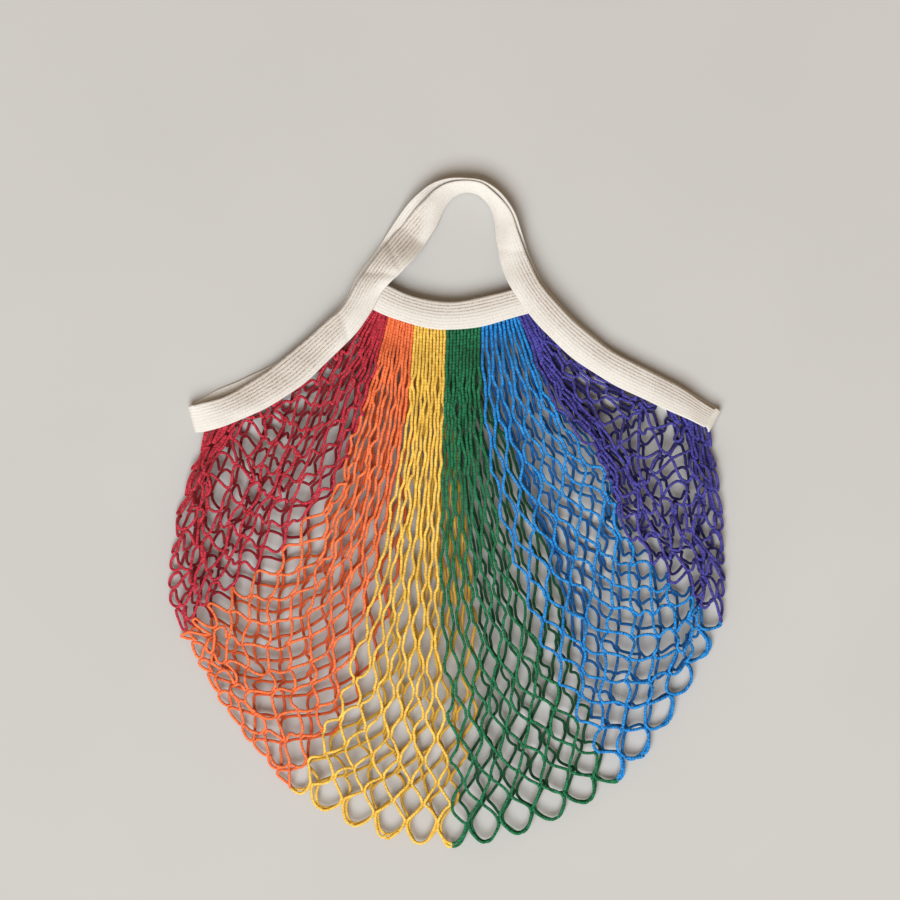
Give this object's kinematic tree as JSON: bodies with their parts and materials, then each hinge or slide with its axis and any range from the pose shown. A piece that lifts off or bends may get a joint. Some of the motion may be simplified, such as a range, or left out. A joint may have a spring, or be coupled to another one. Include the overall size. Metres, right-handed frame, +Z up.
{
  "type": "net shopping bag",
  "caption": "Rainbow cotton net shopping bag lying flat, its diamond net folded at the bottom, with cream tape at the mouth, along both side slits and over the top as carrying handles.",
  "frame": {"origin": "under the middle of the bag's box, on the surface that the bag lies on", "axes": "+Z up from the surface, +Y from the folded bottom of the net towards the handles, +X to the right with the front leaf on top"},
  "size_m": [0.4176, 0.5022, 0.0204],
  "materials": {
    "red_cord": "matt dyed cotton cord",
    "orange_cord": "matt dyed cotton cord",
    "yellow_cord": "matt dyed cotton cord",
    "green_cord": "matt dyed cotton cord",
    "blue_cord": "matt dyed cotton cord",
    "violet_cord": "matt dyed cotton cord",
    "cream_tape": "undyed ribbed cotton tape"
  },
  "bodies": {
    "root": {"net_red": "red_cord", "net_orange": "orange_cord", "net_yellow": "yellow_cord", "net_green": "green_cord", "net_blue": "blue_cord", "net_violet": "violet_cord", "front_band": "cream_tape", "back_band": "cream_tape", "handle_tape": "cream_tape"}
  },
  "joints": []
}
